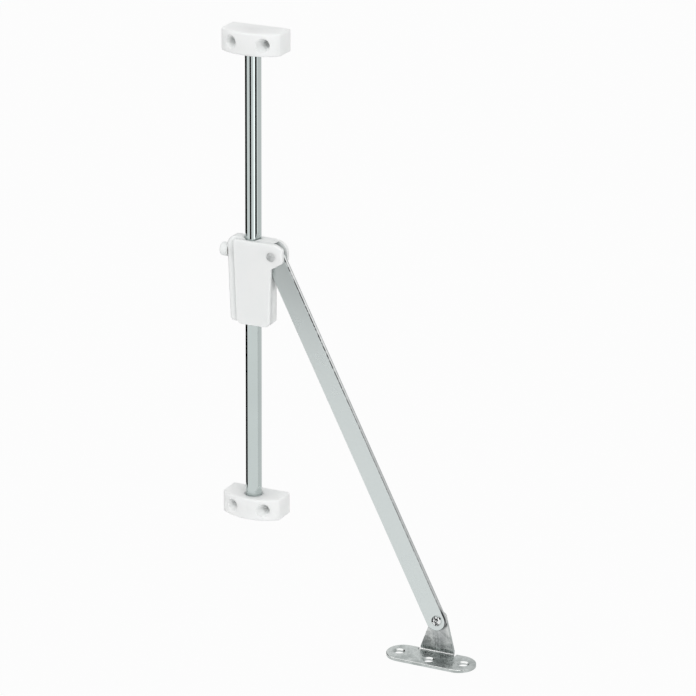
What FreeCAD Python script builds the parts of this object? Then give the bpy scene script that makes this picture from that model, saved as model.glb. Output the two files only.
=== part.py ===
"""Lid stay: a braked slider on a round rod, a flat arm and a folded flap bracket.

Frame, in millimetres: X runs along the end blocks, to the side that carries the arm, Y runs
into the panel and Z runs up along the rod. The origin is the middle of the four panel screws,
on the panel's face. The slider's pieces are drawn about the rod's axis, the arm about its
upper pivot, and the flap bracket about the foot of its ear.
"""
import FreeCAD, Part
import math
import os

import Sketcher

TOLERANCE = 1e-4


class Size:
    """A length or an angle that knows both its value and the expression that gives it."""

    def __init__(self, value, text):
        self.value = float(value)
        self.text = text

    def _join(self, other, sign, swap, work):
        other = other if isinstance(other, Size) else Size(other, repr(float(other)))
        first, second = (other, self) if swap else (self, other)
        text = "(%s %s %s)" % (first.text, sign, second.text)
        return Size(work(first.value, second.value), text)

    def __add__(self, other):
        return self._join(other, "+", False, lambda a, b: a + b)

    def __radd__(self, other):
        return self._join(other, "+", True, lambda a, b: a + b)

    def __sub__(self, other):
        return self._join(other, "-", False, lambda a, b: a - b)

    def __rsub__(self, other):
        return self._join(other, "-", True, lambda a, b: a - b)

    def __mul__(self, other):
        return self._join(other, "*", False, lambda a, b: a * b)

    def __rmul__(self, other):
        return self._join(other, "*", True, lambda a, b: a * b)

    def __truediv__(self, other):
        return self._join(other, "/", False, lambda a, b: a / b)

    def __neg__(self):
        return 0.0 - self


def sine(angle):
    return Size(math.sin(math.radians(angle.value)), "sin(%s)" % angle.text)


def cosine(angle):
    return Size(math.cos(math.radians(angle.value)), "cos(%s)" % angle.text)


def arcsine(ratio):
    return Size(math.degrees(math.asin(ratio.value)), "(asin(%s) / 1 deg)" % ratio.text)


def root(size):
    return Size(math.sqrt(size.value), "sqrt(%s)" % size.text)


ZERO = Size(0.0, "0")

# Driving dimensions, in millimetres and degrees
DIMENSIONS = [
    ("rail_length", 250.0, "over both end blocks"),
    ("rod_dia", 8.0, "rod"),
    ("rod_standoff", 8.5, "rod axis to panel"),
    ("rod_seat", 8.5, "depth of the rod's seat in an end block"),
    ("rod_chamfer", 0.6, "chamfer on the rod's ends"),
    ("seat_fit", 0.01, "radial play of a pressed or moulded-in piece"),
    ("block_length", 31.5, "end block along X"),
    ("block_height", 11.2, "end block along Z"),
    ("block_flank", 11.6, "depth of an end block's side faces"),
    ("block_front_radius", 25.0, "curve of an end block's front"),
    ("block_corner", 3.0, "round between front and side faces"),
    ("block_edge", 0.8, "round of the outer edges"),
    ("rim_dia", 9.4, "recess round the rod's foot"),
    ("rim_depth", 1.6, "depth of that recess"),
    ("screw_spacing", 17.6, "between an end block's two screws"),
    ("screw_hole_dia", 3.8, "screw hole in an end block"),
    ("funnel_dia", 7.0, "mouth of the screw funnel"),
    ("funnel_depth", 3.6, "depth of the screw funnel"),
    ("slider_height", 43.8, "slider along Z"),
    ("slider_rest", -1.1, "middle of the slider on the rail at rest"),
    ("slider_left", 13.2, "rod axis to the slider's left side, at the top"),
    ("left_taper", 1.9, "narrowing of the slider's left side down to its foot"),
    ("slider_right", 12.4, "rod axis to the slider's right side, below the ears"),
    ("right_taper", 1.0, "narrowing of the slider's right side down to its foot"),
    ("slider_front", 6.0, "rod axis to the slider's front face"),
    ("slider_back", 8.0, "rod axis to the slider's back"),
    ("hump_right", 9.5, "rod axis to the right side of the slider's back"),
    ("hump_drop", 1.3, "top of the slider's back below the slider's top"),
    ("hump_round", 2.0, "round of the slider's back edges"),
    ("wing_round", 1.5, "round of the edge behind the slider's right side"),
    ("slider_corner", 4.5, "round of the slider's upper left corner"),
    ("slider_foot_corner", 2.2, "round of the slider's lower left corner"),
    ("slider_front_round", 2.0, "round of the slider's front left edge"),
    ("bore_play", 0.05, "radial play of the slider on the rod"),
    ("bore_chamfer", 0.8, "chamfer at both mouths of the slider's bore"),
    ("cover_thick", 2.1, "front cover"),
    ("cover_left", 8.5, "rod axis to the cover's left edge, at the slider's top"),
    ("cover_drop", 0.6, "cover top below the slider's top"),
    ("cover_corner", 1.6, "round of the cover's upper and ear corners"),
    ("foot_corner", 3.0, "round of both shells' lower right corner and the cover's left one"),
    ("cover_edge", 0.7, "round of the cover's front edge"),
    ("peg_dia", 2.0, "locating pegs behind the cover"),
    ("peg_length", 2.2, "length of those pegs"),
    ("peg_inset", 2.8, "peg centres in from the cover's edges"),
    ("pivot_out", 12.3, "rod axis to the arm's upper pivot, along X"),
    ("pivot_drop", 7.0, "upper pivot below the slider's top"),
    ("ear_reach", 6.2, "pivot to the ears' outer edge"),
    ("ear_foot", 6.5, "pivot down to where the ears meet the slider's side"),
    ("ear_lift", 2.6, "foot of the ears' outer edge below the pivot"),
    ("ear_bevel", 4.0, "bevel on the front ear's upper corner"),
    ("rear_ear_round", 6.0, "round of the rear ear's upper corner"),
    ("rear_ear_thick", 2.0, "rear ear"),
    ("slot_play", 0.35, "arm to the clevis on each side"),
    ("slot_gap", 0.5, "arm's edges to the slot's floor and roof"),
    ("arm_thick", 3.0, "flat arm"),
    ("arm_width", 10.2, "flat arm"),
    ("arm_length", 197.8, "between the arm's pivots"),
    ("arm_angle", 27.1, "arm out from the rod at rest"),
    ("arm_swing", 85.0, "how far the arm lifts from rest"),
    ("swing_spare", 1.0, "turn left in the slot when the arm is fully lifted"),
    ("arm_edge", 0.35, "round of the arm's long edges"),
    ("arm_hole_offset", 0.8, "lower hole beside the arm's middle line"),
    ("pivot_dia", 3.6, "shank of the upper rivet"),
    ("pivot_head_dia", 4.6, "front head of the upper rivet"),
    ("pivot_head_depth", 1.0, "front head of the upper rivet"),
    ("pivot_rear_dia", 5.2, "rear head of the upper rivet"),
    ("pivot_rear_thick", 0.8, "rear head of the upper rivet"),
    ("head_sink", 0.25, "upper rivet's head below the cover"),
    ("pin_play", 0.05, "radial play of a rivet in what turns on it"),
    ("washer_dia", 8.6, "plain washers at the pivots"),
    ("washer_gap", 0.05, "washer to the arm"),
    ("foot_rivet_dia", 3.6, "shank of the lower rivet"),
    ("foot_head_dia", 5.2, "domed front head of the lower rivet"),
    ("foot_head_thick", 1.1, "domed front head of the lower rivet"),
    ("foot_head_round", 0.9, "round of that head"),
    ("foot_rear_dia", 5.4, "rear head of the lower rivet"),
    ("foot_rear_thick", 0.8, "rear head of the lower rivet"),
    ("foot_dimple_dia", 1.5, "punch mark in the domed head"),
    ("foot_washer_thick", 0.5, "washer between arm and bracket"),
    ("sheet", 1.5, "bracket sheet"),
    ("bend_radius", 0.8, "inside of the bracket's bend"),
    ("plate_length", 47.0, "bracket plate along X"),
    ("plate_width", 17.6, "bracket plate along Y"),
    ("plate_hole_dia", 4.6, "screw holes in the plate"),
    ("plate_sink", 0.7, "countersink of those holes"),
    ("plate_spacing", 34.6, "between the plate's outer holes"),
    ("plate_middle_shift", 3.0, "middle hole forward of the outer ones"),
    ("plate_edge", 0.35, "round of the plate's upper rim"),
    ("bracket_height", 19.8, "plate's underside to the lower pivot"),
    ("bracket_lean", 1.0, "lower pivot towards +X of the plate's middle"),
    ("bracket_ear_foot", 17.8, "width of the bracket's ear at its foot"),
    ("bracket_ear_top", 5.8, "width of the bracket's ear at its top"),
    ("bracket_ear_rise", 3.2, "top of the bracket's ear above the pivot"),
    ("relief_width", 1.2, "relief notches beside the bend"),
    ("knob_drop", 8.2, "adjusting knob below the slider's top"),
    ("knob_dia", 6.9, "adjusting knob"),
    ("knob_length", 4.2, "adjusting knob"),
    ("knob_gap", 0.3, "knob to the slider's side"),
    ("knob_round", 1.2, "round of the knob's outer end"),
    ("knob_neck_dia", 6.2, "knob's inner collar"),
    ("knob_neck_length", 0.8, "knob's inner collar"),
    ("screw_dia", 4.0, "adjusting screw"),
    ("screw_in_knob", 3.2, "adjusting screw inside the knob"),
    ("insert_dia", 6.0, "threaded insert"),
    ("insert_length", 4.2, "threaded insert"),
    ("insert_sink", 0.3, "insert below the slider's side"),
    ("shoe_dia", 5.4, "brake shoe"),
    ("shoe_length", 2.9, "rod's surface to the back of the brake shoe"),
    ("shoe_play", 0.05, "brake shoe to its hole and to the rod"),
    ("shoe_travel", 0.5, "room for the brake shoe to back off the rod"),
]

doc = FreeCAD.newDocument("lid_stay")
sheet = doc.addObject("Spreadsheet::Sheet", "dims")
for number, (alias, value, note) in enumerate(DIMENSIONS, start=1):
    sheet.set("A%d" % number, note)
    sheet.set("B%d" % number, str(value))
    sheet.setAlias("B%d" % number, alias)
doc.recompute()
dims = {alias: Size(sheet.get(alias), "dims." + alias) for alias, _, _ in DIMENSIONS}


class Dimensions:
    """Gives each named dimension as an attribute."""

    def __getattr__(self, alias):
        return dims[alias]


d = Dimensions()


def bind(target, path, size):
    """Bind one property of an object to the expression of a size."""
    target.setExpression(path, size.text)


def set_place(body, x, y, z, axis=(0, 1, 0), angle=ZERO):
    """Place a sub-part, with its position and turn bound to the sheet."""
    turn = FreeCAD.Rotation(FreeCAD.Vector(*axis), angle.value)
    body.Placement = FreeCAD.Placement(FreeCAD.Vector(x.value, y.value, z.value), turn)
    bind(body, "Placement.Base.x", x)
    bind(body, "Placement.Base.y", y)
    bind(body, "Placement.Base.z", z)
    if angle is not ZERO:
        bind(body, "Placement.Rotation.Angle", angle)


def new_body(label):
    body = doc.addObject("PartDesign::Body", label)
    body.Label = label
    return body


def origin_feature(body, role):
    return next(f for f in body.Origin.OriginFeatures if f.Role == role)


def sketch_on(body, plane, level=ZERO, shift=(ZERO, ZERO)):
    """A sketch on one of the body's own planes, moved to a level along that plane's axis.

    The XZ plane faces -Y, so a level along Y is negated there.
    """
    sketch = body.newObject("Sketcher::SketchObject", body.Label + "_sketch")
    sketch.AttachmentSupport = (origin_feature(body, plane + "_Plane"), [""])
    sketch.MapMode = "FlatFace"
    depth = -level if plane == "XZ" else level
    for path, size in (("x", shift[0]), ("y", shift[1]), ("z", depth)):
        if size.text != "0":
            bind(sketch, "AttachmentOffset.Base." + path, size)
    return sketch


def pin_point(sketch, geometry, position, x, y):
    """Fix one point of a sketch at x, y from the sketch's origin."""
    for kind, size in (("DistanceX", x), ("DistanceY", y)):
        index = sketch.addConstraint(Sketcher.Constraint(kind, geometry, position, size.value))
        if size.text != "0":
            bind(sketch, "Constraints[%d]" % index, size)


def draw_outline(sketch, points):
    """A closed outline of straight edges through points given as sizes."""
    count = len(points)
    for i in range(count):
        (x0, y0), (x1, y1) = points[i], points[(i + 1) % count]
        start = FreeCAD.Vector(x0.value, y0.value, 0)
        end = FreeCAD.Vector(x1.value, y1.value, 0)
        sketch.addGeometry(Part.LineSegment(start, end), False)
    for i in range(count):
        sketch.addConstraint(Sketcher.Constraint("Coincident", i, 2, (i + 1) % count, 1))
    for i, (x, y) in enumerate(points):
        pin_point(sketch, i, 1, x, y)


def draw_circle(sketch, x, y, radius):
    centre = FreeCAD.Vector(x.value, y.value, 0)
    circle = Part.Circle(centre, FreeCAD.Vector(0, 0, 1), radius.value)
    index = sketch.addGeometry(circle, False)
    constraint = sketch.addConstraint(Sketcher.Constraint("Radius", index, radius.value))
    bind(sketch, "Constraints[%d]" % constraint, radius)
    pin_point(sketch, index, 3, x, y)


def draw_obround(sketch, left, right, y, radius):
    """Two half circles about (left, y) and (right, y), joined by tangent lines."""
    ends = (left, right)
    for centre, start in zip(ends, (0.5 * math.pi, 1.5 * math.pi)):
        circle = Part.Circle(FreeCAD.Vector(centre.value, y.value, 0),
                             FreeCAD.Vector(0, 0, 1), radius.value)
        sketch.addGeometry(Part.ArcOfCircle(circle, start, start + math.pi), False)
    for side in (-1, 1):
        level = y.value + side * radius.value
        span = (left.value, right.value)
        sketch.addGeometry(Part.LineSegment(FreeCAD.Vector(span[0], level, 0),
                                            FreeCAD.Vector(span[1], level, 0)), False)
    for arc, arc_end, line, line_end in ((0, 2, 2, 1), (2, 2, 1, 1), (1, 2, 3, 2), (3, 1, 0, 1)):
        sketch.addConstraint(Sketcher.Constraint("Tangent", arc, arc_end, line, line_end))
    sketch.addConstraint(Sketcher.Constraint("Equal", 0, 1))
    index = sketch.addConstraint(Sketcher.Constraint("Radius", 0, radius.value))
    bind(sketch, "Constraints[%d]" % index, radius)
    pin_point(sketch, 0, 3, left, y)
    pin_point(sketch, 1, 3, right, y)


def draw_block_plan(sketch):
    """Plan of an end block: flat back and flanks, and one shallow curve as its front."""
    half = d.block_length / 2
    flank = -d.block_flank
    corners = ((-half, flank), (-half, ZERO), (half, ZERO), (half, flank))
    for (x0, y0), (x1, y1) in zip(corners, corners[1:]):
        sketch.addGeometry(Part.LineSegment(FreeCAD.Vector(x0.value, y0.value, 0),
                                            FreeCAD.Vector(x1.value, y1.value, 0)), False)
    front = Part.Arc(FreeCAD.Vector(half.value, flank.value, 0),
                     FreeCAD.Vector(0, block_front_at(ZERO).value, 0),
                     FreeCAD.Vector(-half.value, flank.value, 0))
    sketch.addGeometry(front, False)
    for first, second in ((0, 1), (1, 2)):
        sketch.addConstraint(Sketcher.Constraint("Coincident", first, 2, second, 1))
    # An arc through these points is stored anticlockwise, from its left end to its right end
    sketch.addConstraint(Sketcher.Constraint("Coincident", 3, 1, 0, 1))
    sketch.addConstraint(Sketcher.Constraint("Coincident", 3, 2, 2, 2))
    pin_point(sketch, 0, 1, -half, flank)
    pin_point(sketch, 1, 1, -half, ZERO)
    pin_point(sketch, 2, 1, half, ZERO)
    pin_point(sketch, 2, 2, half, flank)
    index = sketch.addConstraint(Sketcher.Constraint("Radius", 3, d.block_front_radius.value))
    bind(sketch, "Constraints[%d]" % index, d.block_front_radius)


def block_front_at(x):
    """Where the curved front of an end block lies at a distance x from its middle."""
    radius = d.block_front_radius
    half = d.block_length / 2
    return -d.block_flank - root(radius * radius - x * x) + root(radius * radius - half * half)


def extrude(body, plane, start, end, draw, shift=(ZERO, ZERO), cut=False):
    """Pad or pocket a sketch between two levels along the plane's own axis."""
    toward_start = (plane == "XZ") != cut
    sketch = sketch_on(body, plane, end if toward_start else start, shift)
    draw(sketch)
    kind = "PartDesign::Pocket" if cut else "PartDesign::Pad"
    feature = body.newObject(kind, body.Label + ("_cut" if cut else "_pad"))
    feature.Profile = sketch
    feature.Length = (end - start).value
    bind(feature, "Length", end - start)
    return settle(body, feature, cut)


def revolve(body, plane, axis, draw, level=ZERO, shift=(ZERO, ZERO), cut=False):
    """Turn a sketch once about its own horizontal or vertical axis."""
    sketch = sketch_on(body, plane, level, shift)
    draw(sketch)
    kind = "PartDesign::Groove" if cut else "PartDesign::Revolution"
    feature = body.newObject(kind, body.Label + "_turned")
    feature.Profile = sketch
    feature.ReferenceAxis = (sketch, [axis])
    feature.Angle = 360.0
    return settle(body, feature, cut)


def settle(body, feature, cut):
    """Recompute, and see that a cut removed something and a pad added something."""
    base = feature.BaseFeature
    before = base.Shape.Volume if base else 0.0
    doc.recompute()
    change = feature.Shape.Volume - before
    if (change > -TOLERANCE) if cut else (change < TOLERANCE):
        raise RuntimeError("%s changed nothing" % feature.Name)
    return feature


def edges_on(shape, **levels):
    """Names of the edges that lie wholly at the given x, y or z levels."""
    names = []
    for number, edge in enumerate(shape.Edges, start=1):
        span = edge.ParameterRange
        steps = [span[0] + (span[1] - span[0]) * k / 4 for k in range(5)]
        points = [edge.valueAt(step) for step in steps]
        if all(abs(getattr(point, axis) - size.value) < 1e-3
               for axis, size in levels.items() for point in points):
            names.append("Edge%d" % number)
    return names


def edges_along(shape, axis, inside):
    """Names of the straight edges along an axis whose middle passes the test."""
    names = []
    for number, edge in enumerate(shape.Edges, start=1):
        if len(edge.Vertexes) != 2:
            continue
        run = edge.Vertexes[1].Point - edge.Vertexes[0].Point
        straight = abs(run.Length - edge.Length) < 1e-6
        if straight and abs(run.dot(axis)) > 0.99 * run.Length:
            middle = edge.valueAt(sum(edge.ParameterRange) / 2)
            if inside(middle):
                names.append("Edge%d" % number)
    return names


def soften(body, kind, names, size):
    """Fillet or chamfer named edges of the body's last feature."""
    if not names:
        raise RuntimeError("no edge to soften on %s" % body.Label)
    feature = body.newObject("PartDesign::" + kind, body.Label + "_" + kind.lower())
    feature.Base = (feature.BaseFeature, names)
    path = "Radius" if kind == "Fillet" else "Size"
    setattr(feature, path, size.value)
    bind(feature, path, size)
    doc.recompute()
    return feature


Y_AXIS = FreeCAD.Vector(0, 1, 0)

# Places that several pieces share, in the slider's frame unless said otherwise
rod_radius = d.rod_dia / 2
half_height = d.slider_height / 2
cover_back = -d.slider_front + d.cover_thick
arm_front = cover_back + d.slot_play
arm_back = arm_front + d.arm_thick
rear_ear_front = arm_back + d.slot_play
rear_ear_back = rear_ear_front + d.rear_ear_thick
pivot_height = half_height - d.pivot_drop
knob_height = half_height - d.knob_drop
ear_edge = d.pivot_out + d.ear_reach
ear_root = pivot_height - d.ear_foot
foot_right = d.slider_right - d.right_taper

# The lower pivot, in the part's own frame
foot_x = d.pivot_out + d.arm_length * sine(d.arm_angle)
foot_z = d.slider_rest + pivot_height - d.arm_length * cosine(d.arm_angle)
washer_back = arm_back + d.washer_gap + d.foot_washer_thick
bracket_back = washer_back + d.washer_gap + d.sheet


def place_on_rod(body):
    """Put a slider piece on the rod's axis, at the slider's rest height."""
    set_place(body, ZERO, -d.rod_standoff, d.slider_rest)


def make_rod():
    body = new_body("rod")
    half = d.rail_length / 2 - d.block_height + d.rod_seat
    extrude(body, "XY", -half, half, lambda s: draw_circle(s, ZERO, ZERO, rod_radius))
    ends = edges_on(body.Shape, z=half) + edges_on(body.Shape, z=-half)
    soften(body, "Chamfer", ends, d.rod_chamfer)
    set_place(body, ZERO, -d.rod_standoff, ZERO)
    return body


def make_end_block(label, side):
    """An end block drawn below its inner face, which looks along +Z to the rail's middle."""
    body = new_body(label)
    extrude(body, "XY", -d.block_height, ZERO, draw_block_plan)
    half = d.block_length / 2
    flank = -d.block_flank
    shape = body.Shape
    corners = edges_on(shape, x=half, y=flank) + edges_on(shape, x=-half, y=flank)
    soften(body, "Fillet", corners, d.block_corner)
    rims = edges_on(body.Shape, z=-d.block_height) + edges_on(body.Shape, z=ZERO)
    back = edges_on(body.Shape, y=ZERO)
    soften(body, "Fillet", [name for name in rims if name not in back], d.block_edge)
    axis_y = -d.rod_standoff
    extrude(body, "XY", -d.rod_seat, ZERO,
            lambda s: draw_circle(s, ZERO, axis_y, rod_radius + d.seat_fit), cut=True)
    extrude(body, "XY", -d.rim_depth, ZERO,
            lambda s: draw_circle(s, ZERO, axis_y, d.rim_dia / 2), cut=True)
    mouth = block_front_at(d.screw_spacing / 2)
    hole = d.screw_hole_dia / 2
    funnel = d.funnel_dia / 2
    reach = 2 * block_front_at(ZERO)
    profile = [(ZERO, reach), (funnel, reach), (funnel, mouth),
               (hole, mouth + d.funnel_depth), (hole, d.block_edge), (ZERO, d.block_edge)]
    for across in (-d.screw_spacing / 2, d.screw_spacing / 2):
        revolve(body, "XY", "V_Axis", lambda s: draw_outline(s, profile),
                level=-d.block_height / 2, shift=(across, ZERO), cut=True)
    inner_face = d.rail_length / 2 - d.block_height
    if side > 0:
        set_place(body, ZERO, ZERO, inner_face, angle=Size(180.0, "180"))
    else:
        set_place(body, ZERO, ZERO, -inner_face)
    return body


def left_edge(at_top, height):
    """Where a left edge that narrows with the slider lies, at a height above its middle."""
    return -at_top + d.left_taper * (half_height - height) / d.slider_height


def slider_outline(right_points):
    """Front view of the slider, with a given right side."""
    return [(-d.slider_left, half_height),
            (left_edge(d.slider_left, -half_height), -half_height)] + right_points


def draw_foot_corner(sketch):
    """What the round of the lower right corner takes away, with room outside the corner."""
    slope = d.right_taper / (ear_root + half_height)
    stretch = root(1 + slope * slope)
    reach = d.foot_corner * (stretch - slope)
    low = (foot_right - reach, -half_height)
    high = (foot_right + reach * slope / stretch, -half_height + reach / stretch)
    outside = (foot_right + reach, -half_height - reach)
    for (x0, y0), (x1, y1) in ((high, outside), (outside, low)):
        sketch.addGeometry(Part.LineSegment(FreeCAD.Vector(x0.value, y0.value, 0),
                                            FreeCAD.Vector(x1.value, y1.value, 0)), False)
    radius = d.foot_corner.value
    centre = FreeCAD.Vector(low[0].value, low[1].value + radius, 0)
    circle = Part.Circle(centre, FreeCAD.Vector(0, 0, 1), radius)
    end = math.atan2(high[1].value - centre.y, high[0].value - centre.x)
    sketch.addGeometry(Part.ArcOfCircle(circle, -0.5 * math.pi, end), False)
    for first, first_end, second, second_end in ((0, 2, 1, 1), (1, 2, 2, 1), (2, 2, 0, 1)):
        sketch.addConstraint(Sketcher.Constraint("Coincident", first, first_end, second,
                                                 second_end))
    pin_point(sketch, 0, 1, *high)
    pin_point(sketch, 1, 1, *outside)
    pin_point(sketch, 1, 2, *low)
    index = sketch.addConstraint(Sketcher.Constraint("Radius", 2, radius))
    bind(sketch, "Constraints[%d]" % index, d.foot_corner)


def peg_places():
    """Centres of the three pegs between the slider's two shells, clear of the brake's hole."""
    low = -half_height + 2 * d.peg_inset
    high = knob_height - d.insert_dia
    inset = d.peg_inset / 2
    return [(left_edge(d.cover_left, low) + inset, low), (d.slider_right - d.peg_inset, low),
            (left_edge(d.cover_left, high) + inset, high)]


def arm_sweep(sketch):
    """The room that the arm needs in the slider, from rest to fully lifted."""
    radius = d.arm_width / 2 + d.slot_gap
    reach = 3 * d.ear_reach
    top = d.arm_angle + d.arm_swing + d.swing_spare
    low_line = (d.pivot_out - radius * cosine(d.arm_angle),
                pivot_height - radius * sine(d.arm_angle))
    top_line = (d.pivot_out + radius * cosine(top), pivot_height + radius * sine(top))
    points = [low_line,
              (low_line[0] + reach * sine(d.arm_angle), low_line[1] - reach * cosine(d.arm_angle)),
              (top_line[0] + reach * sine(top), top_line[1] - reach * cosine(top)),
              top_line]
    draw_outline(sketch, points)


def cut_bore(body):
    """Bore for the rod through either shell of the slider, with coned mouths."""
    bore = rod_radius + d.bore_play
    cone = d.bore_chamfer
    mouth = bore + 2 * cone
    profile = [(ZERO, -half_height - cone), (mouth, -half_height - cone),
               (bore, -half_height + cone), (bore, half_height - cone),
               (mouth, half_height + cone), (ZERO, half_height + cone)]
    revolve(body, "XZ", "V_Axis", lambda s: draw_outline(s, profile), cut=True)


def make_slider_body():
    body = new_body("slider_body")
    wing_right = [(foot_right, -half_height), (d.slider_right, ear_root),
                  (ear_edge, pivot_height - d.ear_lift), (ear_edge, half_height)]
    extrude(body, "XZ", cover_back, rear_ear_back,
            lambda s: draw_outline(s, slider_outline(wing_right)))
    hump_right = [(d.hump_right, -half_height), (d.hump_right, half_height)]
    extrude(body, "XZ", rear_ear_back, d.slider_back,
            lambda s: draw_outline(s, slider_outline(hump_right)))
    for corner, low in ((d.slider_corner, False), (d.slider_foot_corner, True)):
        names = edges_along(body.Shape, Y_AXIS, lambda p: p.x < 0 and (p.z < 0) == low)
        soften(body, "Fillet", names, corner)
    hump_top = half_height - d.hump_drop
    above = [(-ear_edge, hump_top), (ear_edge, hump_top), (ear_edge, d.slider_height),
             (-ear_edge, d.slider_height)]
    extrude(body, "XZ", rear_ear_back, d.slider_height, lambda s: draw_outline(s, above), cut=True)
    soften(body, "Fillet", edges_on(body.Shape, x=ear_edge, z=half_height), d.rear_ear_round)
    soften(body, "Fillet", edges_on(body.Shape, y=d.slider_back), d.hump_round)
    soften(body, "Fillet", right_side_edges(body.Shape), d.wing_round)
    limit = left_edge(d.slider_left, -half_height).value + d.slider_corner.value / 2
    front_left = [name for name in edges_on(body.Shape, y=cover_back)
                  if middle_of(body.Shape, name).x < limit]
    soften(body, "Fillet", front_left, d.slider_front_round)
    extrude(body, "XZ", cover_back, d.slider_back, draw_foot_corner, cut=True)
    cut_bore(body)
    # Slot for the arm, between the cover's ear and this shell's ear
    extrude(body, "XZ", cover_back, rear_ear_front, arm_sweep, cut=True)
    extrude(body, "XZ", cover_back, rear_ear_front,
            lambda s: draw_circle(s, d.pivot_out, pivot_height, d.arm_width / 2 + d.slot_gap),
            cut=True)
    # Rivet hole through the rear ear
    extrude(body, "XZ", rear_ear_front, rear_ear_back,
            lambda s: draw_circle(s, d.pivot_out, pivot_height, d.pivot_dia / 2 + d.seat_fit),
            cut=True)
    # Cross holes for the brake shoe and the threaded insert, from the left side
    extrude(body, "YZ", -2 * d.slider_left, ZERO,
            lambda s: draw_circle(s, ZERO, knob_height, d.shoe_dia / 2 + d.shoe_play), cut=True)
    extrude(body, "YZ", -2 * d.slider_left, insert_inner,
            lambda s: draw_circle(s, ZERO, knob_height, d.insert_dia / 2 + d.seat_fit), cut=True)
    for x, z in peg_places():
        extrude(body, "XZ", cover_back, cover_back + d.peg_length + d.slot_play,
                lambda s: draw_circle(s, x, z, d.peg_dia / 2 + d.bore_play), cut=True)
    place_on_rod(body)
    return body


def middle_of(shape, name):
    edge = shape.getElement(name)
    return edge.valueAt(sum(edge.ParameterRange) / 2)


def right_side_edges(shape):
    """The edge behind the slider's right side, from its foot up to the ear."""
    return [name for name in edges_on(shape, y=rear_ear_back)
            if middle_of(shape, name).x > foot_right.value - TOLERANCE
            and middle_of(shape, name).z < ear_root.value - TOLERANCE]


def is_ring(shape, name):
    edge = shape.getElement(name)
    return hasattr(edge.Curve, "Radius") and edge.isClosed()


def make_slider_cover():
    body = new_body("slider_cover")
    top = half_height - d.cover_drop
    outline = [(left_edge(d.cover_left, top), top),
               (left_edge(d.cover_left, -half_height), -half_height),
               (foot_right, -half_height), (d.slider_right, ear_root),
               (ear_edge, pivot_height - d.ear_lift), (ear_edge, top - d.ear_bevel / 2),
               (ear_edge - d.ear_bevel, top)]
    extrude(body, "XZ", -d.slider_front, cover_back, lambda s: draw_outline(s, outline))
    low_corners = edges_along(body.Shape, Y_AXIS, lambda p: p.z < 0)
    soften(body, "Fillet", low_corners, d.foot_corner)
    high_corners = edges_along(body.Shape, Y_AXIS, lambda p: p.z > 0)
    inner = edges_on(body.Shape, x=d.slider_right, z=ear_root)
    soften(body, "Fillet", [name for name in high_corners if name not in inner], d.cover_corner)
    soften(body, "Fillet", edges_on(body.Shape, y=-d.slider_front), d.cover_edge)
    for x, z in peg_places():
        extrude(body, "XZ", cover_back, cover_back + d.peg_length,
                lambda s: draw_circle(s, x, z, d.peg_dia / 2))
    cut_bore(body)
    # Rivet hole, with a counterbore that takes the rivet's head
    extrude(body, "XZ", -d.slider_front, cover_back,
            lambda s: draw_circle(s, d.pivot_out, pivot_height, d.pivot_dia / 2 + d.seat_fit),
            cut=True)
    extrude(body, "XZ", -d.slider_front, -d.slider_front + d.head_sink + d.pivot_head_depth,
            lambda s: draw_circle(s, d.pivot_out, pivot_height,
                                  d.pivot_head_dia / 2 + d.seat_fit), cut=True)
    place_on_rod(body)
    return body


def make_pivot_rivet():
    """Upper rivet, turned about the Y axis: a sunk front head and a flat rear head."""
    body = new_body("pivot_rivet")
    shank = d.pivot_dia / 2
    head = d.pivot_head_dia / 2
    rear = d.pivot_rear_dia / 2
    front = -d.slider_front + d.head_sink
    profile = [(ZERO, front), (head, front), (head, front + d.pivot_head_depth),
               (shank, front + d.pivot_head_depth), (shank, rear_ear_back),
               (rear, rear_ear_back), (rear, rear_ear_back + d.pivot_rear_thick),
               (ZERO, rear_ear_back + d.pivot_rear_thick)]
    revolve(body, "XY", "V_Axis", lambda s: draw_outline(s, profile))
    set_place(body, d.pivot_out, -d.rod_standoff, d.slider_rest + pivot_height)
    return body


def make_washer(label, start, end, x, z, bore):
    """A flat washer about a pivot, between two levels along Y."""
    body = new_body(label)
    extrude(body, "XZ", start, end, lambda s: draw_circle(s, ZERO, ZERO, d.washer_dia / 2))
    extrude(body, "XZ", start, end, lambda s: draw_circle(s, ZERO, ZERO, bore), cut=True)
    set_place(body, x, -d.rod_standoff, z)
    return body


def make_arm():
    """Flat bar with round ends, drawn along X from its upper hole."""
    body = new_body("arm")
    end = root(d.arm_length * d.arm_length - d.arm_hole_offset * d.arm_hole_offset)
    extrude(body, "XZ", arm_front, arm_back,
            lambda s: draw_obround(s, ZERO, end, ZERO, d.arm_width / 2))
    rims = edges_on(body.Shape, y=arm_front) + edges_on(body.Shape, y=arm_back)
    soften(body, "Fillet", rims, d.arm_edge)
    for x, z, pin in ((ZERO, ZERO, d.pivot_dia), (end, d.arm_hole_offset, d.foot_rivet_dia)):
        extrude(body, "XZ", arm_front, arm_back,
                lambda s: draw_circle(s, x, z, pin / 2 + d.pin_play), cut=True)
    skew = arcsine(d.arm_hole_offset / d.arm_length)
    set_place(body, d.pivot_out, -d.rod_standoff, d.slider_rest + pivot_height,
              angle=90 - d.arm_angle + skew)
    return body


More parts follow.
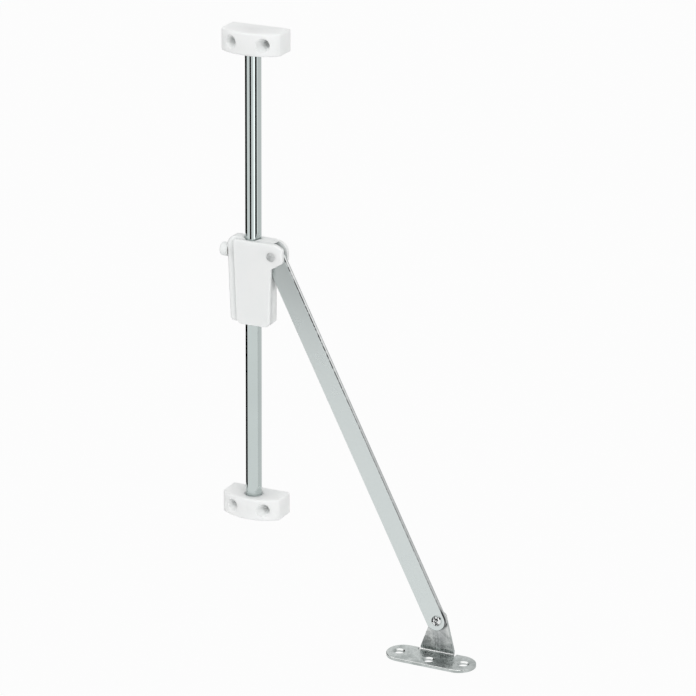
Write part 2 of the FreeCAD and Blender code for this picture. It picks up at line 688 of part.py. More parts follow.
def make_bracket_rivet():
    """Lower rivet, turned about the Y axis: a domed, dimpled front head and a flat rear head."""
    body = new_body("bracket_rivet")
    shank = d.foot_rivet_dia / 2
    head = d.foot_head_dia / 2
    rear = d.foot_rear_dia / 2
    seat = arm_front - d.washer_gap
    front = seat - d.foot_head_thick
    profile = [(ZERO, front), (head, front), (head, seat), (shank, seat),
               (shank, bracket_back), (rear, bracket_back),
               (rear, bracket_back + d.foot_rear_thick),
               (ZERO, bracket_back + d.foot_rear_thick)]
    revolve(body, "XY", "V_Axis", lambda s: draw_outline(s, profile))
    soften(body, "Fillet", edges_on(body.Shape, y=front), d.foot_head_round)
    extrude(body, "XZ", front, front + d.foot_head_thick / 2,
            lambda s: draw_circle(s, ZERO, ZERO, d.foot_dimple_dia / 2), cut=True)
    set_place(body, foot_x, -d.rod_standoff, foot_z)
    return body


def make_flap_bracket():
    """Folded sheet: an obround plate with three screw holes and an ear bent up at its back.

    It is drawn about the middle of the plate, with the back of the ear at y = 0 and the plate's
    underside at z = 0. The ear leans, so that the pivot stands a little to one side.
    """
    body = new_body("flap_bracket")
    lean = d.bracket_lean
    middle = -d.plate_width / 2
    reach = d.plate_length / 2 - d.plate_width / 2
    extrude(body, "XY", ZERO, d.sheet,
            lambda s: draw_obround(s, -reach, reach, middle, d.plate_width / 2))
    soften(body, "Fillet", edges_on(body.Shape, z=d.sheet), d.plate_edge)
    foot = d.bracket_ear_foot / 2
    top = d.bracket_ear_top / 2
    crest = d.bracket_height + d.bracket_ear_rise
    shoulder = d.sheet + 2 * d.bend_radius
    ear = [(-foot, ZERO), (foot, ZERO), (foot, shoulder), (lean + top, crest),
           (lean - top, crest), (-foot, shoulder)]
    extrude(body, "XZ", -d.sheet, ZERO, lambda s: draw_outline(s, ear))
    soften(body, "Fillet", edges_on(body.Shape, x=lean + top, z=crest)
           + edges_on(body.Shape, x=lean - top, z=crest), top - d.plate_edge)
    # Relief notches end the bend beside the ear
    notch_depth = d.sheet + 1.5 * d.bend_radius
    for side in (-1, 1):
        inner = side * foot
        outer = side * (foot + d.relief_width)
        notch = [(inner, -notch_depth), (outer, -notch_depth), (outer, d.sheet), (inner, d.sheet)]
        extrude(body, "XY", -d.sheet, 2 * d.sheet, lambda s: draw_outline(s, notch), cut=True)
    inside = edges_on(body.Shape, y=-d.sheet, z=d.sheet)
    soften(body, "Fillet", inside, d.bend_radius)
    outside = [name for name in edges_on(body.Shape, y=ZERO, z=ZERO)
               if body.Shape.getElement(name).CenterOfMass.x ** 2 < foot.value ** 2]
    soften(body, "Fillet", outside, d.sheet + d.bend_radius)
    holes = [(-d.plate_spacing / 2, middle), (d.plate_spacing / 2, middle),
             (ZERO, middle - d.plate_middle_shift)]
    for x, y in holes:
        extrude(body, "XY", -d.sheet, 2 * d.sheet,
                lambda s: draw_circle(s, x, y, d.plate_hole_dia / 2), cut=True)
    rings = [name for name in edges_on(body.Shape, z=d.sheet) if is_ring(body.Shape, name)]
    soften(body, "Chamfer", rings, d.plate_sink)
    extrude(body, "XZ", -2 * d.sheet, d.sheet,
            lambda s: draw_circle(s, lean, d.bracket_height, d.foot_rivet_dia / 2 + d.pin_play),
            cut=True)
    set_place(body, foot_x - lean, -d.rod_standoff + bracket_back, foot_z - d.bracket_height)
    return body


# The brake, along the X axis on the slider's left side
slider_side = left_edge(d.slider_left, knob_height)
insert_outer = slider_side + d.insert_sink
insert_inner = insert_outer + d.insert_length
shoe_back = -rod_radius - d.shoe_length
screw_tip = shoe_back - d.shoe_travel
knob_inner = slider_side - d.knob_gap


def place_on_brake_axis(body):
    set_place(body, ZERO, -d.rod_standoff, d.slider_rest + knob_height)


def make_brake_shoe():
    """A round plug whose end is hollowed to the rod."""
    body = new_body("brake_shoe")
    extrude(body, "YZ", shoe_back, ZERO, lambda s: draw_circle(s, ZERO, ZERO, d.shoe_dia / 2))
    extrude(body, "XY", -d.shoe_dia, d.shoe_dia,
            lambda s: draw_circle(s, ZERO, ZERO, rod_radius + d.shoe_play), cut=True)
    place_on_brake_axis(body)
    return body


def make_threaded_insert():
    body = new_body("threaded_insert")
    extrude(body, "YZ", insert_outer, insert_inner,
            lambda s: draw_circle(s, ZERO, ZERO, d.insert_dia / 2))
    extrude(body, "YZ", insert_outer, insert_inner,
            lambda s: draw_circle(s, ZERO, ZERO, d.screw_dia / 2 + d.pin_play), cut=True)
    place_on_brake_axis(body)
    return body


def make_adjusting_screw():
    body = new_body("adjusting_screw")
    extrude(body, "YZ", knob_inner - d.screw_in_knob, screw_tip,
            lambda s: draw_circle(s, ZERO, ZERO, d.screw_dia / 2))
    soften(body, "Chamfer", edges_on(body.Shape, x=screw_tip), d.rod_chamfer)
    place_on_brake_axis(body)
    return body


def make_adjusting_knob():
    """Moulded on the screw: a thin collar at the slider and a rounded outer end."""
    body = new_body("adjusting_knob")
    neck = d.knob_neck_dia / 2
    grip = d.knob_dia / 2
    step = knob_inner - d.knob_neck_length
    outer = knob_inner - d.knob_length
    profile = [(outer, ZERO), (outer, grip), (step, grip), (step, neck), (knob_inner, neck),
               (knob_inner, ZERO)]
    revolve(body, "XY", "H_Axis", lambda s: draw_outline(s, profile))
    soften(body, "Fillet", edges_on(body.Shape, x=outer), d.knob_round)
    extrude(body, "YZ", knob_inner - d.screw_in_knob, knob_inner,
            lambda s: draw_circle(s, ZERO, ZERO, d.screw_dia / 2 + d.seat_fit), cut=True)
    place_on_brake_axis(body)
    return body


def make_all():
    """Build every sub-part and return them in the order in which the stay is put together."""
    pivot_z = d.slider_rest + pivot_height
    bore = d.pivot_dia / 2 + d.pin_play
    gap = d.washer_gap
    return [
        make_rod(),
        make_end_block("top_end_block", 1),
        make_end_block("bottom_end_block", -1),
        make_slider_body(),
        make_slider_cover(),
        make_threaded_insert(),
        make_brake_shoe(),
        make_adjusting_screw(),
        make_adjusting_knob(),
        make_pivot_rivet(),
        make_washer("front_pivot_washer", cover_back, arm_front - gap, d.pivot_out, pivot_z, bore),
        make_washer("rear_pivot_washer", arm_back + gap, rear_ear_front, d.pivot_out, pivot_z,
                    bore),
        make_arm(),
        make_bracket_rivet(),
        make_washer("bracket_washer", arm_back + gap, washer_back, foot_x, foot_z, bore),
        make_flap_bracket(),
    ]


def check(parts):
    """Stop if any object failed, or if any sub-part isn't one valid solid."""
    for item in doc.Objects:
        if "Invalid" in item.State or "Error" in item.State:
            raise RuntimeError("%s failed: %s" % (item.Name, item.State))
    for part in parts:
        if part.Shape.isNull() or not part.Shape.isValid() or len(part.Shape.Solids) != 1:
            raise RuntimeError("%s is not one valid solid" % part.Label)


pieces = make_all()
doc.recompute()
check(pieces)
os.makedirs("parts", exist_ok=True)
for piece in pieces:
    piece.Shape.exportStep(os.path.join("parts", piece.Label + ".step"))
    print("%-20s %9.1f mm3" % (piece.Label, piece.Shape.Volume))
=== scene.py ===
"""Looks of the lid stay: its finishes, a pale floor, soft light and the cards its metal mirrors."""
import math

import bmesh
import bpy
from mathutils import Matrix, Vector


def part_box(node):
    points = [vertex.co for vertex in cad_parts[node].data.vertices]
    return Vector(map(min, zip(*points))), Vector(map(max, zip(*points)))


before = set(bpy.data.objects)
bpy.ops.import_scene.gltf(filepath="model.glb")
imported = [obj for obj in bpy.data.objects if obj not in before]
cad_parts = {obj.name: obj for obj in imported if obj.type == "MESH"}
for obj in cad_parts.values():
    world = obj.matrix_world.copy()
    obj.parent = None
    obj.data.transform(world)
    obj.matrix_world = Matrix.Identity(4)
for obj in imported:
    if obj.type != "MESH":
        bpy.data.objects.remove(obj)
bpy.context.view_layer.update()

MICRON = 1e-6
WHITE = (1.0, 1.0, 1.0, 1.0)


class Value:
    """A shader socket that carries a number, joined to others by Python's own operators."""

    def __init__(self, finish, socket):
        self.finish = finish
        self.socket = socket

    def _math(self, operation, first, second=0.0, clamp=False):
        settings = {"operation": operation, "use_clamp": clamp}
        node = self.finish.node("Math", settings, {0: first, 1: second})
        return Value(self.finish, node.outputs[0])

    def __add__(self, other):
        return self._math("ADD", self, other)

    def __radd__(self, other):
        return self._math("ADD", other, self)

    def __sub__(self, other):
        return self._math("SUBTRACT", self, other)

    def __rsub__(self, other):
        return self._math("SUBTRACT", other, self)

    def __mul__(self, other):
        return self._math("MULTIPLY", self, other)

    def __rmul__(self, other):
        return self._math("MULTIPLY", other, self)

    def __truediv__(self, other):
        return self._math("DIVIDE", self, other)

    def __rtruediv__(self, other):
        return self._math("DIVIDE", other, self)

    def __abs__(self):
        return self._math("ABSOLUTE", self)

    def clamped(self):
        return self._math("ADD", self, 0.0, clamp=True)

    def ramp(self, low, high):
        """From 0 to 1, smoothly, as this value goes from low to high."""
        node = self.finish.node("MapRange", {"interpolation_type": "SMOOTHSTEP"},
                                {"Value": self, "From Min": low, "From Max": high})
        return Value(self.finish, node.outputs["Result"])

    def between(self, low, high):
        """From low to high as this value goes from 0 to 1."""
        return low + (high - low) * self


# Shade in a seam: rays sent out, and the shares of them getting clear that count as closed
# and as open
CREVICE_RAYS = 8
CREVICE_CLOSED = 0.55
CREVICE_OPEN = 0.92
# The level that every noise pattern drifts about
NOISE_MIDDLE = 0.5


class Finish:
    """The shader of a material or of the world, with short ways to add its nodes."""

    def __init__(self, owner):
        owner.use_nodes = True
        self.owner = owner
        self.tree = owner.node_tree
        self.tree.nodes.clear()

    def node(self, kind, settings=None, inputs=None):
        """Any node: its settings are set first, then its sockets take values or links."""
        made = self.tree.nodes.new("ShaderNode" + kind)
        for name, setting in (settings or {}).items():
            setattr(made, name, setting)
        for key, value in (inputs or {}).items():
            if isinstance(value, Value):
                value = value.socket
            if isinstance(value, bpy.types.NodeSocket):
                self.tree.links.new(value, made.inputs[key])
            else:
                made.inputs[key].default_value = value
        return made

    def value(self, node, output=0):
        return Value(self, node.outputs[output])

    def place(self):
        """Where a point of the piece is, in the piece's own frame."""
        return self.node("TexCoord").outputs["Object"]

    def facing(self):
        """Which way the surface faces there, in the piece's own frame."""
        return self.node("TexCoord").outputs["Normal"]

    def axes(self, vector):
        parts = self.node("SeparateXYZ", None, {0: vector})
        return [self.value(parts, axis) for axis in range(3)]

    def stretched(self, scale, turn=(0.0, 0.0, 0.0)):
        """The piece's own coordinates, turned and then scaled along each axis."""
        turned = self.node("VectorRotate", {"rotation_type": "EULER_XYZ"},
                           {"Vector": self.place(), "Rotation": turn})
        return self.node("Mapping", None,
                         {"Vector": turned.outputs[0], "Scale": scale}).outputs[0]

    def noise(self, per_metre=1.0, octaves=3.0, roughness=0.5, vector=None):
        """A cloudy pattern about NOISE_MIDDLE, in the piece's own frame or a stretched one."""
        node = self.node("TexNoise", None,
                         {"Vector": vector or self.place(), "Scale": per_metre,
                          "Detail": octaves, "Roughness": roughness})
        return self.value(node)

    def mix(self, amount, first, second):
        """From the first colour to the second as the amount goes from 0 to 1."""
        node = self.node("Mix", {"data_type": "RGBA"}, {"Factor": amount})
        for slot, colour in (("A", first), ("B", second)):
            socket = next(s for s in node.inputs if s.name == slot and s.type == "RGBA")
            if isinstance(colour, bpy.types.NodeSocket):
                self.tree.links.new(colour, socket)
            else:
                socket.default_value = (*colour, 1.0)
        return next(s for s in node.outputs if s.type == "RGBA")

    def crevice(self, reach):
        """0 deep in a seam or corner, and 1 on open surfaces: nothing lies within reach."""
        # The mask for painted shade in seams and corners
        node = self.node("AmbientOcclusion", {"samples": CREVICE_RAYS}, {"Distance": reach})
        return self.value(node, "AO").ramp(CREVICE_CLOSED, CREVICE_OPEN)

    def bump(self, height, depth, under=None):
        """Relief of the given depth in metres, over a finer relief if there is one."""
        inputs = {"Height": height, "Distance": depth}
        if under is not None:
            inputs["Normal"] = under
        return self.node("Bump", None, inputs).outputs["Normal"]

    def watched(self):
        """1 for rays that look, straight or by way of metal or glass, and 0 for the others."""
        path = self.node("LightPath")
        looks = self.value(path, "Is Camera Ray") + self.value(path, "Is Glossy Ray")
        return (looks + self.value(path, "Is Transmission Ray")).clamped()

    def done(self, **sockets):
        """Feed the one surface shader and return the material."""
        inputs = {name.replace("_", " "): value for name, value in sockets.items()}
        shader = self.node("BsdfPrincipled", None, inputs)
        self.node("OutputMaterial", None, {"Surface": shader.outputs[0]})
        return self.owner


def new_finish(name):
    return Finish(bpy.data.materials.new(name))


# The share of light that the white plastic lets in, and how far, in metres: more in the
# solid blocks than in the slider's shells, and the same for red, green and blue
BLOCK_GLOW = (0.85, 0.007)
SHELL_GLOW = (0.45, 0.004)
EVEN_GLOW = (1.0, 1.0, 1.0)
PLASTIC_IOR = 1.5
# How far from a seam or fold its painted shade reaches, in metres
SLIDER_SEAM = 0.0038
PLATE_SEAM = 0.0022

# Each finish drifts between two colours
MOULDED_WHITES = (0.83, 0.86, 0.855), (0.89, 0.89, 0.885)
HANDLED_WHITES = (0.80, 0.82, 0.815), (0.86, 0.875, 0.87)
SEAM_SHADE = (0.56, 0.585, 0.58)
# Depth of the sparked grain, and the height of its ripples as a share of that
SPARK_DEPTH = 12 * MICRON
RIPPLE_HEIGHT = 0.6


def white_plastic(name, glow, seam_reach=0.0):
    """Moulded polyamide: satin white, a touch cool, with a fine sparked grain.

    Where two mouldings meet, painted shade lies along the seam, as far as the given reach.
    """
    f = new_finish(name)
    weight, reach = glow
    colour = f.mix(f.noise(per_metre=55.0, octaves=2.0), *MOULDED_WHITES)
    if seam_reach:
        # Painted shade along the seams between mouldings
        colour = f.mix(f.crevice(seam_reach), SEAM_SHADE, colour)
    sparks = f.noise(per_metre=5200.0, octaves=2.0, roughness=0.6)
    ripples = f.noise(per_metre=900.0, octaves=2.0)
    gloss = f.noise(per_metre=260.0)
    return f.done(Base_Color=colour, Roughness=gloss.between(0.36, 0.48),
                  Normal=f.bump(sparks + RIPPLE_HEIGHT * ripples, SPARK_DEPTH),
                  IOR=PLASTIC_IOR, Subsurface_Weight=weight, Subsurface_Scale=reach,
                  Subsurface_Radius=EVEN_GLOW)


def knob_plastic():
    """The same white plastic, a little greyer from handling."""
    f = new_finish("knob_white_plastic")
    colour = f.mix(f.noise(per_metre=160.0), *HANDLED_WHITES)
    sparks = f.noise(per_metre=4200.0, octaves=2.0, roughness=0.6)
    gloss = f.noise(per_metre=400.0)
    return f.done(Base_Color=colour, Roughness=gloss.between(0.38, 0.52),
                  Normal=f.bump(sparks, SPARK_DEPTH), IOR=PLASTIC_IOR)


CHROME_GREYS = (0.525, 0.58, 0.57), (0.58, 0.64, 0.63)
HAIRLINE_DEPTH = 1.2 * MICRON


def polished_chrome():
    """Hard chrome on ground steel: bright, with hairlines that the slider drew along the rod."""
    f = new_finish("polished_chrome")
    hairlines = f.noise(roughness=0.7, vector=f.stretched((2600.0, 2600.0, 14.0)))
    haze = f.noise(per_metre=60.0)
    return f.done(Base_Color=f.mix(haze, *CHROME_GREYS), Metallic=1.0,
                  Normal=f.bump(hairlines, HAIRLINE_DEPTH),
                  Roughness=(haze * hairlines).between(0.035, 0.085))


SCREW_GREYS = (0.48, 0.50, 0.50), (0.58, 0.60, 0.595)
SCREW_GRAIN_DEPTH = 4 * MICRON


def zinc_screw():
    """Zinc-plated screw steel."""
    f = new_finish("zinc_plated_screw")
    cloud = f.noise(per_metre=420.0, roughness=0.55)
    grain = f.noise(per_metre=2600.0, octaves=2.0)
    return f.done(Base_Color=f.mix(cloud, *SCREW_GREYS), Metallic=1.0,
                  Roughness=cloud.between(0.28, 0.40),
                  Normal=f.bump(grain, SCREW_GRAIN_DEPTH))


# The arm's faces, and its sheared edges: torn metal, the burnished band and the dark line, with
# painted reflection and painted shade
FACE_GREYS = (0.635, 0.69, 0.685), (0.70, 0.745, 0.735)
TORN_GREYS = (0.34, 0.36, 0.36), (0.66, 0.68, 0.68)
BURNISH_FAR = (0.62, 0.64, 0.635)
BURNISH_AND_PAINTED_SHEEN = (0.93, 0.95, 0.94)
EDGE_LINE_AND_PAINTED_SHADE = (0.035, 0.038, 0.04)
ROLLING_DEPTH = 2.5 * MICRON
# How much of the normal points to the front or back, from an edge to a face
EDGE_TO_FACE = (0.55, 0.97)
# Where the bands across an edge begin or end, as shares of the thickness behind the front
BURNISH_START = (0.24, 0.36)
BURNISH_END = (0.60, 0.75)
BURNISH_RAGGED = 0.5
LINE_END = (0.22, 0.36)
PAINTED_END_SHADE_LIMIT = (0.46, 0.58)
# The dark line: where the pattern of bites lets it show, and its share far from the slider
LINE_SHOWS = (0.40, 0.52)
LINE_FAR = 0.35
# Heights in metres: how far below the slider's foot the edge keeps its painted reflection, and
# where above the bar's lowest point the painted shade round its end stops
PAINTED_REFLECTION_REACH = 0.06
PAINTED_END_SHADE_TOP = (0.009, 0.014)
# What torn metal adds to the roughness, and its height as a multiple of the rolling lines'
TORN_DULLNESS = 0.14
TORN_HEIGHT = 3.0


def rolled_zinc(turn, front, thickness, slider_foot, bar_foot):
    """Zinc-plated bar: satin faces with rolling lines, and edges torn by the shears.

    An edge has a dark line at the front face, a burnished band behind it and torn metal at
    the back. Near the slider the line is darker and the band brighter, as painted reflection,
    and round the bar's lower end a painted shade darkens the edge; the levels are in metres.
    """
    f = new_finish("rolled_zinc_plate")
    _, depth, height = f.axes(f.place())
    depth = (depth - front) / thickness
    _, across, _ = f.axes(f.facing())
    edge = 1.0 - abs(across).ramp(*EDGE_TO_FACE)
    lines = f.noise(octaves=4.0, roughness=0.65, vector=f.stretched((26.0, 900.0, 1800.0), turn))
    cloud = f.noise(per_metre=38.0, octaves=4.0, roughness=0.55)
    tear = f.noise(roughness=0.7, vector=f.stretched((700.0, 1500.0, 700.0)))
    bites = f.noise(octaves=2.0, roughness=0.6, vector=f.stretched((380.0, 260.0, 380.0)))
    ragged = depth + BURNISH_RAGGED * (bites - NOISE_MIDDLE)
    burnish = depth.ramp(*BURNISH_START) * (1.0 - ragged.ramp(*BURNISH_END))
    # Painted reflection: near the slider the edge's band is brighter and its line darker
    painted_reflection_near_slider = height.ramp(slider_foot - PAINTED_REFLECTION_REACH, slider_foot)
    painted_shade_near_end = 1.0 - (height - bar_foot).ramp(*PAINTED_END_SHADE_TOP)
    line = edge * (1.0 - depth.ramp(*LINE_END)) * bites.ramp(*LINE_SHOWS)
    # Painted shade along the edge round the bar's lower end
    painted_end_shade = edge * (1.0 - depth.ramp(*PAINTED_END_SHADE_LIMIT)) * painted_shade_near_end
    dark = (line * painted_reflection_near_slider.between(LINE_FAR, 1.0) + painted_end_shade).clamped()
    burnish_band_and_painted_sheen = f.mix(painted_reflection_near_slider, BURNISH_FAR, BURNISH_AND_PAINTED_SHEEN)
    edge_colour = f.mix(burnish, f.mix(tear, *TORN_GREYS), burnish_band_and_painted_sheen)
    colour = f.mix(edge, f.mix(cloud, *FACE_GREYS), edge_colour)
    return f.done(Base_Color=f.mix(dark, colour, EDGE_LINE_AND_PAINTED_SHADE), Metallic=1.0,
                  Normal=f.bump(lines + TORN_HEIGHT * edge * tear, ROLLING_DEPTH),
                  Roughness=cloud.between(0.23, 0.33) + TORN_DULLNESS * edge * tear)


PLATE_GREYS = (0.39, 0.425, 0.415), (0.54, 0.575, 0.565)
EAR_PAINTED_LIGHTER_GREYS = (0.50, 0.52, 0.52), (0.68, 0.70, 0.69)
PLATE_PAINTED_SHADE = (0.15, 0.16, 0.16)
PAINTED_FOLD_HIGHLIGHT = (0.95, 0.96, 0.95)
TUMBLED_DEPTH = 600 * MICRON
SPECK_DEPTH = 3 * MICRON
# Height in metres over which the plate's finish turns into the ear's
EAR_BLEND = 0.001
# How much of the normal points to the front or back on the ear's flat faces, and how the
# two parts of the normal multiply on the fold's round
EAR_FACES = (0.80, 0.97)
FOLD_ROUND = (0.20, 0.42)
# Shares of dents and streaks in the clouds, and where these go from dark to light
DENTS_IN_CLOUD = 0.7
STREAKS_IN_CLOUD = 0.3
CLOUD_LIMITS = (0.36, 0.60)
# Height of the streaks as a share of the dents', and what streaks and specks add to the
# roughness
STREAK_HEIGHT = 0.5
STREAK_DULLNESS = 0.12
SPECK_DULLNESS = 0.03


def bright_nickel(ear_foot):
    """Barrel-plated nickel: shiny, with the soft dents and dark clouds of tumbled sheet.

    The ear, above the given level in metres, is duller than the plate and painted in lighter
    greys that stand in for light, and the fold between them has a painted highlight.
    """
    f = new_finish("barrel_plated_nickel")
    _, _, height = f.axes(f.place())
    _, across, rising = f.axes(f.facing())
    ear = height.ramp(ear_foot, ear_foot + EAR_BLEND) * abs(across).ramp(*EAR_FACES)
    fold = (abs(across) * rising).ramp(*FOLD_ROUND)
    dents = f.noise(per_metre=170.0, octaves=2.0, roughness=0.45)
    streaks = f.noise(roughness=0.6, vector=f.stretched((420.0, 420.0, 60.0)))
    specks = f.noise(per_metre=2200.0, octaves=2.0, roughness=0.6)
    cloud = (DENTS_IN_CLOUD * dents + STREAKS_IN_CLOUD * streaks).ramp(*CLOUD_LIMITS)
    # The ear's upright faces get lighter greys than the plate: painted light on one sheet
    colour = f.mix(ear, f.mix(cloud, *PLATE_GREYS), f.mix(cloud, *EAR_PAINTED_LIGHTER_GREYS))
    # Painted shade in folds and seams, and where the arm lies close to the ear
    colour = f.mix(f.crevice(PLATE_SEAM), PLATE_PAINTED_SHADE, colour)
    # Painted highlight along the fold's round
    return f.done(Base_Color=f.mix(fold, colour, PAINTED_FOLD_HIGHLIGHT), Metallic=1.0,
                  Normal=f.bump(dents + STREAK_HEIGHT * streaks, TUMBLED_DEPTH,
                                under=f.bump(specks, SPECK_DEPTH)),
                  Roughness=ear.between(0.15, 0.25) + STREAK_DULLNESS * streaks
                  + SPECK_DULLNESS * specks)


PRESSED_GREYS = (0.46, 0.475, 0.47), (0.80, 0.82, 0.815)
PRESSED_LIMITS = (0.35, 0.65)
PRESSED_DEPTH = 300 * MICRON


def pressed_nickel():
    """Duller nickel on the rivet whose head is sunk in the slider's cover."""
    f = new_finish("pressed_nickel")
    cloud = f.noise(per_metre=330.0, roughness=0.55)
    colour = f.mix(cloud.ramp(*PRESSED_LIMITS), *PRESSED_GREYS)
    return f.done(Base_Color=colour, Metallic=1.0, Roughness=cloud.between(0.30, 0.50),
                  Normal=f.bump(cloud, PRESSED_DEPTH))


PAINTED_FOLD_SHADE_AND_NICKEL = (0.008, 0.009, 0.01), (0.80, 0.82, 0.815)
# How far the pattern is from its middle, in a fold of painted black shade and beside it
FOLD_LIMITS = (0.028, 0.095)
HAMMERED_DEPTH = 900 * MICRON


def peened_nickel():
    """Nickel on the hammered head of a rivet: deep facets, black in the folds."""
    f = new_finish("peened_nickel")
    facets = f.noise(per_metre=560.0, octaves=1.0, roughness=0.4)
    # Painted black shade in the folds between facets
    clear_of_painted_shade = abs(facets - NOISE_MIDDLE).ramp(*FOLD_LIMITS)
    return f.done(Base_Color=f.mix(clear_of_painted_shade, *PAINTED_FOLD_SHADE_AND_NICKEL), Metallic=1.0,
                  Roughness=facets.between(0.16, 0.36),
                  Normal=f.bump(facets, HAMMERED_DEPTH))


PALE_BRASSES = (0.62, 0.58, 0.50), (0.78, 0.74, 0.66)
RING_DEPTH = 8 * MICRON


def turned_brass():
    """Turned brass under a thin nickel coat, which leaves it pale."""
    f = new_finish("turned_brass")
    rings = f.noise(octaves=2.0, roughness=0.6, vector=f.stretched((4000.0, 300.0, 300.0)))
    return f.done(Base_Color=f.mix(rings, *PALE_BRASSES), Metallic=1.0,
                  Roughness=rings.between(0.22, 0.38), Normal=f.bump(rings, RING_DEPTH))


NYLON_WHITES = (0.66, 0.66, 0.63), (0.76, 0.76, 0.73)
NYLON_GRAIN_DEPTH = 10 * MICRON


def washer_nylon():
    """Natural nylon, matt and a touch warm."""
    f = new_finish("washer_nylon")
    grain = f.noise(per_metre=1500.0)
    return f.done(Base_Color=f.mix(grain, *NYLON_WHITES),
                  Roughness=grain.between(0.42, 0.57),
                  Normal=f.bump(grain, NYLON_GRAIN_DEPTH))


LINING_GREYS = (0.025, 0.026, 0.027), (0.10, 0.10, 0.10)
GRIT_DEPTH = 30 * MICRON


def brake_lining():
    """Dark, gritty friction lining."""
    f = new_finish("brake_lining")
    grit = f.noise(per_metre=1900.0, octaves=4.0, roughness=0.7)
    return f.done(Base_Color=f.mix(grit, *LINING_GREYS),
                  Roughness=grit.between(0.65, 0.85), Normal=f.bump(grit, GRIT_DEPTH))


FLOOR_GREYS = (0.86, 0.86, 0.86), (0.89, 0.89, 0.89)
# Share of plain white in what looking rays see of the floor; the rest keeps its shadow
FLOOR_WHITENED = 0.90


def pale_ground():
    """Pale matt ground. Rays that look at it, straight or in metal, mix in plain white."""
    f = new_finish("pale_floor")
    cloud = f.noise(per_metre=3.0, octaves=2.0)
    matt = f.node("BsdfDiffuse", None, {"Color": f.mix(cloud, *FLOOR_GREYS)})
    white = f.node("Emission", None, {"Color": WHITE, "Strength": 1.0})
    mixed = f.node("MixShader", None, {0: f.watched() * FLOOR_WHITENED, 1: matt.outputs[0],
                                       2: white.outputs[0]})
    f.node("OutputMaterial", None, {"Surface": mixed.outputs[0]})
    return f.owner


def card_finish(name, level):
    """A studio card that only mirrors see, at a plain level of its own."""
    f = new_finish(name)
    glow = f.node("Emission", None, {"Color": WHITE, "Strength": level})
    f.node("OutputMaterial", None, {"Surface": glow.outputs[0]})
    return f.owner


def new_mesh(name, mesh, material):
    made = bpy.data.meshes.new(name)
    mesh.to_mesh(made)
    mesh.free()
    piece = bpy.data.objects.new(name, made)
    bpy.context.scene.collection.objects.link(piece)
    piece.data.materials.append(material)
    return piece


def wear(node, material):
    """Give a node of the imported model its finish."""
    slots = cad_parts[node].data.materials
    for index in range(len(slots)):
        slots[index] = material


# The camera's place, fitted to the photograph: angles from degrees, and lengths in metres
CAMERA_AZIMUTH = math.radians(25.084)
CAMERA_RISE = math.radians(19.533)
CAMERA_ROLL = math.radians(0.444)
CAMERA_DISTANCE = 1.70036
CAMERA_TARGET = Vector((0.051415, -0.0085, -0.028647))
SENSOR_MM = 36.0
FOCAL_PIXELS = 3491.3
FRAME_PIXELS = 696


def view_axes(azimuth, rise):
    """Unit vectors to the right, up and back of a camera that looks at the part."""
    back = Vector((math.sin(azimuth) * math.cos(rise), -math.cos(azimuth) * math.cos(rise),
                   math.sin(rise)))
    right = Vector((math.cos(azimuth), math.sin(azimuth), 0.0))
    return right, back.cross(right), back


def add_camera():
    right, up, back = view_axes(CAMERA_AZIMUTH, CAMERA_RISE)
    rolled_right = right * math.cos(CAMERA_ROLL) + up * math.sin(CAMERA_ROLL)
    rolled_up = up * math.cos(CAMERA_ROLL) - right * math.sin(CAMERA_ROLL)
    data = bpy.data.cameras.new("camera")
    data.sensor_width = SENSOR_MM
    data.lens = FOCAL_PIXELS * SENSOR_MM / FRAME_PIXELS
    camera = bpy.data.objects.new("camera", data)
    place = Matrix((rolled_right, rolled_up, back)).transposed().to_4x4()
    place.translation = CAMERA_TARGET + back * CAMERA_DISTANCE
    camera.matrix_world = place
    bpy.context.scene.collection.objects.link(camera)
    bpy.context.scene.camera = camera


FLOOR_LEVEL = -0.42
FLOOR_HALF = 9.0
WORLD_LIGHT = 0.62


def add_floor():
    mesh = bmesh.new()
    bmesh.ops.create_grid(mesh, x_segments=2, y_segments=2, size=FLOOR_HALF)
    floor = new_mesh("floor", mesh, pale_ground())
    floor.location.z = FLOOR_LEVEL


def add_world():
    """White where it is looked at or mirrored, and a softer level where it lights."""
    world = bpy.data.worlds.new("studio")
    bpy.context.scene.world = world
    f = Finish(world)
    level = f.watched().between(WORLD_LIGHT, 1.0)
    sky = f.node("Background", None, {"Color": WHITE, "Strength": level})
    f.node("OutputWorld", None, {"Surface": sky.outputs[0]})


# Soft lights: azimuth and rise in degrees as for the camera, strength, and spread in degrees
SUNS = {
    "key": (34.0, 36.0, 1.14, 50.0),
    "fill": (-30.0, 24.0, 0.30, 60.0),
}


def add_suns():
    """Soft light on the object, which no mirror shows."""
    for name, (azimuth, rise, strength, spread) in SUNS.items():
        data = bpy.data.lights.new(name, "SUN")
        data.energy = strength
        data.angle = math.radians(spread)
        lamp = bpy.data.objects.new(name, data)
        axes = view_axes(math.radians(azimuth), math.radians(rise))
        lamp.matrix_world = Matrix(axes).transposed().to_4x4()
        lamp.visible_glossy = False
        bpy.context.scene.collection.objects.link(lamp)


# Cards that only the polished metal sees: from and to, in degrees round the rod from the
# camera's side towards the right, then the lower edge in metres, then the level
CARDS = {
    "card_left": (-51.0, -27.0, -0.110, 0.002),
    "card_right": (26.0, 51.0, -0.125, 0.002),
    "card_behind": (-172.0, -97.0, -0.265, 0.0),
    "bright_strip": (7.0, 21.0, -0.125, 2.0),
    "grey_right": (68.0, 165.0, -0.40, 0.79),
}
CARD_TOP = 0.13
CARD_DISTANCE = 0.34
CARD_STEPS = 12


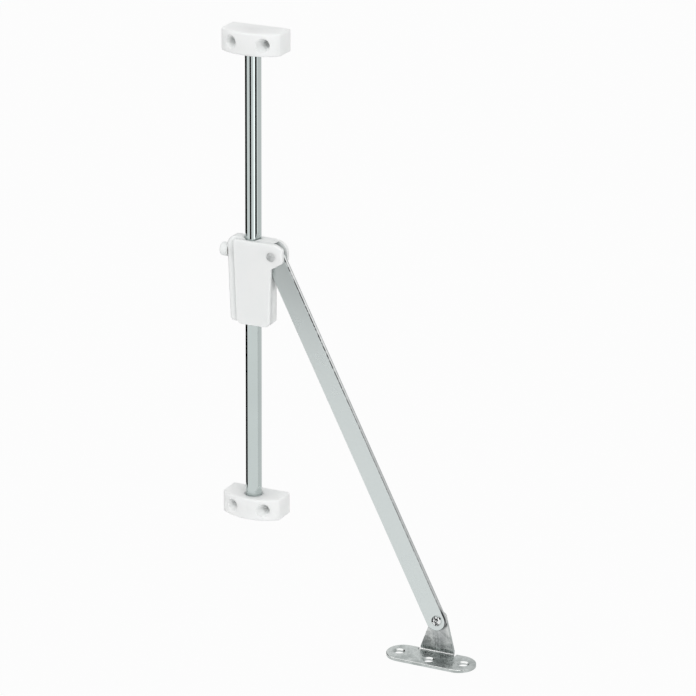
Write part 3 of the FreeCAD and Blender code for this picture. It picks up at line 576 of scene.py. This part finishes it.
def add_cards():
    """Upright curved cards about the rod, hidden from every ray but the mirrored ones."""
    foot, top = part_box("rod")
    axis = Vector(((foot.x + top.x) / 2, (foot.y + top.y) / 2, 0.0))
    right, _, back = view_axes(CAMERA_AZIMUTH, 0.0)
    for name, (start, end, bottom, level) in CARDS.items():
        mesh = bmesh.new()
        rows = []
        for step in range(CARD_STEPS + 1):
            turn = math.radians(start + (end - start) * step / CARD_STEPS)
            side = (back * math.cos(turn) + right * math.sin(turn)) * CARD_DISTANCE
            rows.append([mesh.verts.new(axis + side + Vector((0.0, 0.0, height)))
                         for height in (bottom, CARD_TOP)])
        for (low, high), (next_low, next_high) in zip(rows, rows[1:]):
            mesh.faces.new((low, next_low, next_high, high))
        card = new_mesh(name, mesh, card_finish(name, level))
        card.visible_camera = False
        card.visible_diffuse = False
        card.visible_shadow = False
        card.visible_transmission = False


# From the plate's underside to where the ear leaves the fold, in metres
EAR_RISE = 0.0032


def dress_nodes():
    block_plastic = white_plastic("moulded_white_plastic", BLOCK_GLOW)
    slider_plastic = white_plastic("slider_white_plastic", SHELL_GLOW, SLIDER_SEAM)
    low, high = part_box("arm")
    along_arm = (0.0, -math.atan2(high.z - low.z, high.x - low.x), 0.0)
    slider_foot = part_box("slider_body")[0].z
    zinc = rolled_zinc(along_arm, low.y, high.y - low.y, slider_foot, low.z)
    nylon = washer_nylon()
    plate_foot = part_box("flap_bracket")[0].z
    finishes = {
        "rod": polished_chrome(),
        "top_end_block": block_plastic,
        "bottom_end_block": block_plastic,
        "slider_body": slider_plastic,
        "slider_cover": slider_plastic,
        "threaded_insert": turned_brass(),
        "brake_shoe": brake_lining(),
        "adjusting_screw": zinc_screw(),
        "adjusting_knob": knob_plastic(),
        "pivot_rivet": pressed_nickel(),
        "front_pivot_washer": nylon,
        "rear_pivot_washer": nylon,
        "arm": zinc,
        "bracket_rivet": peened_nickel(),
        "bracket_washer": nylon,
        "flap_bracket": bright_nickel(plate_foot + EAR_RISE),
    }
    for node, material in finishes.items():
        wear(node, material)


add_camera()
add_world()
add_suns()
add_floor()
add_cards()
dress_nodes()
bpy.context.scene.view_settings.view_transform = "Standard"
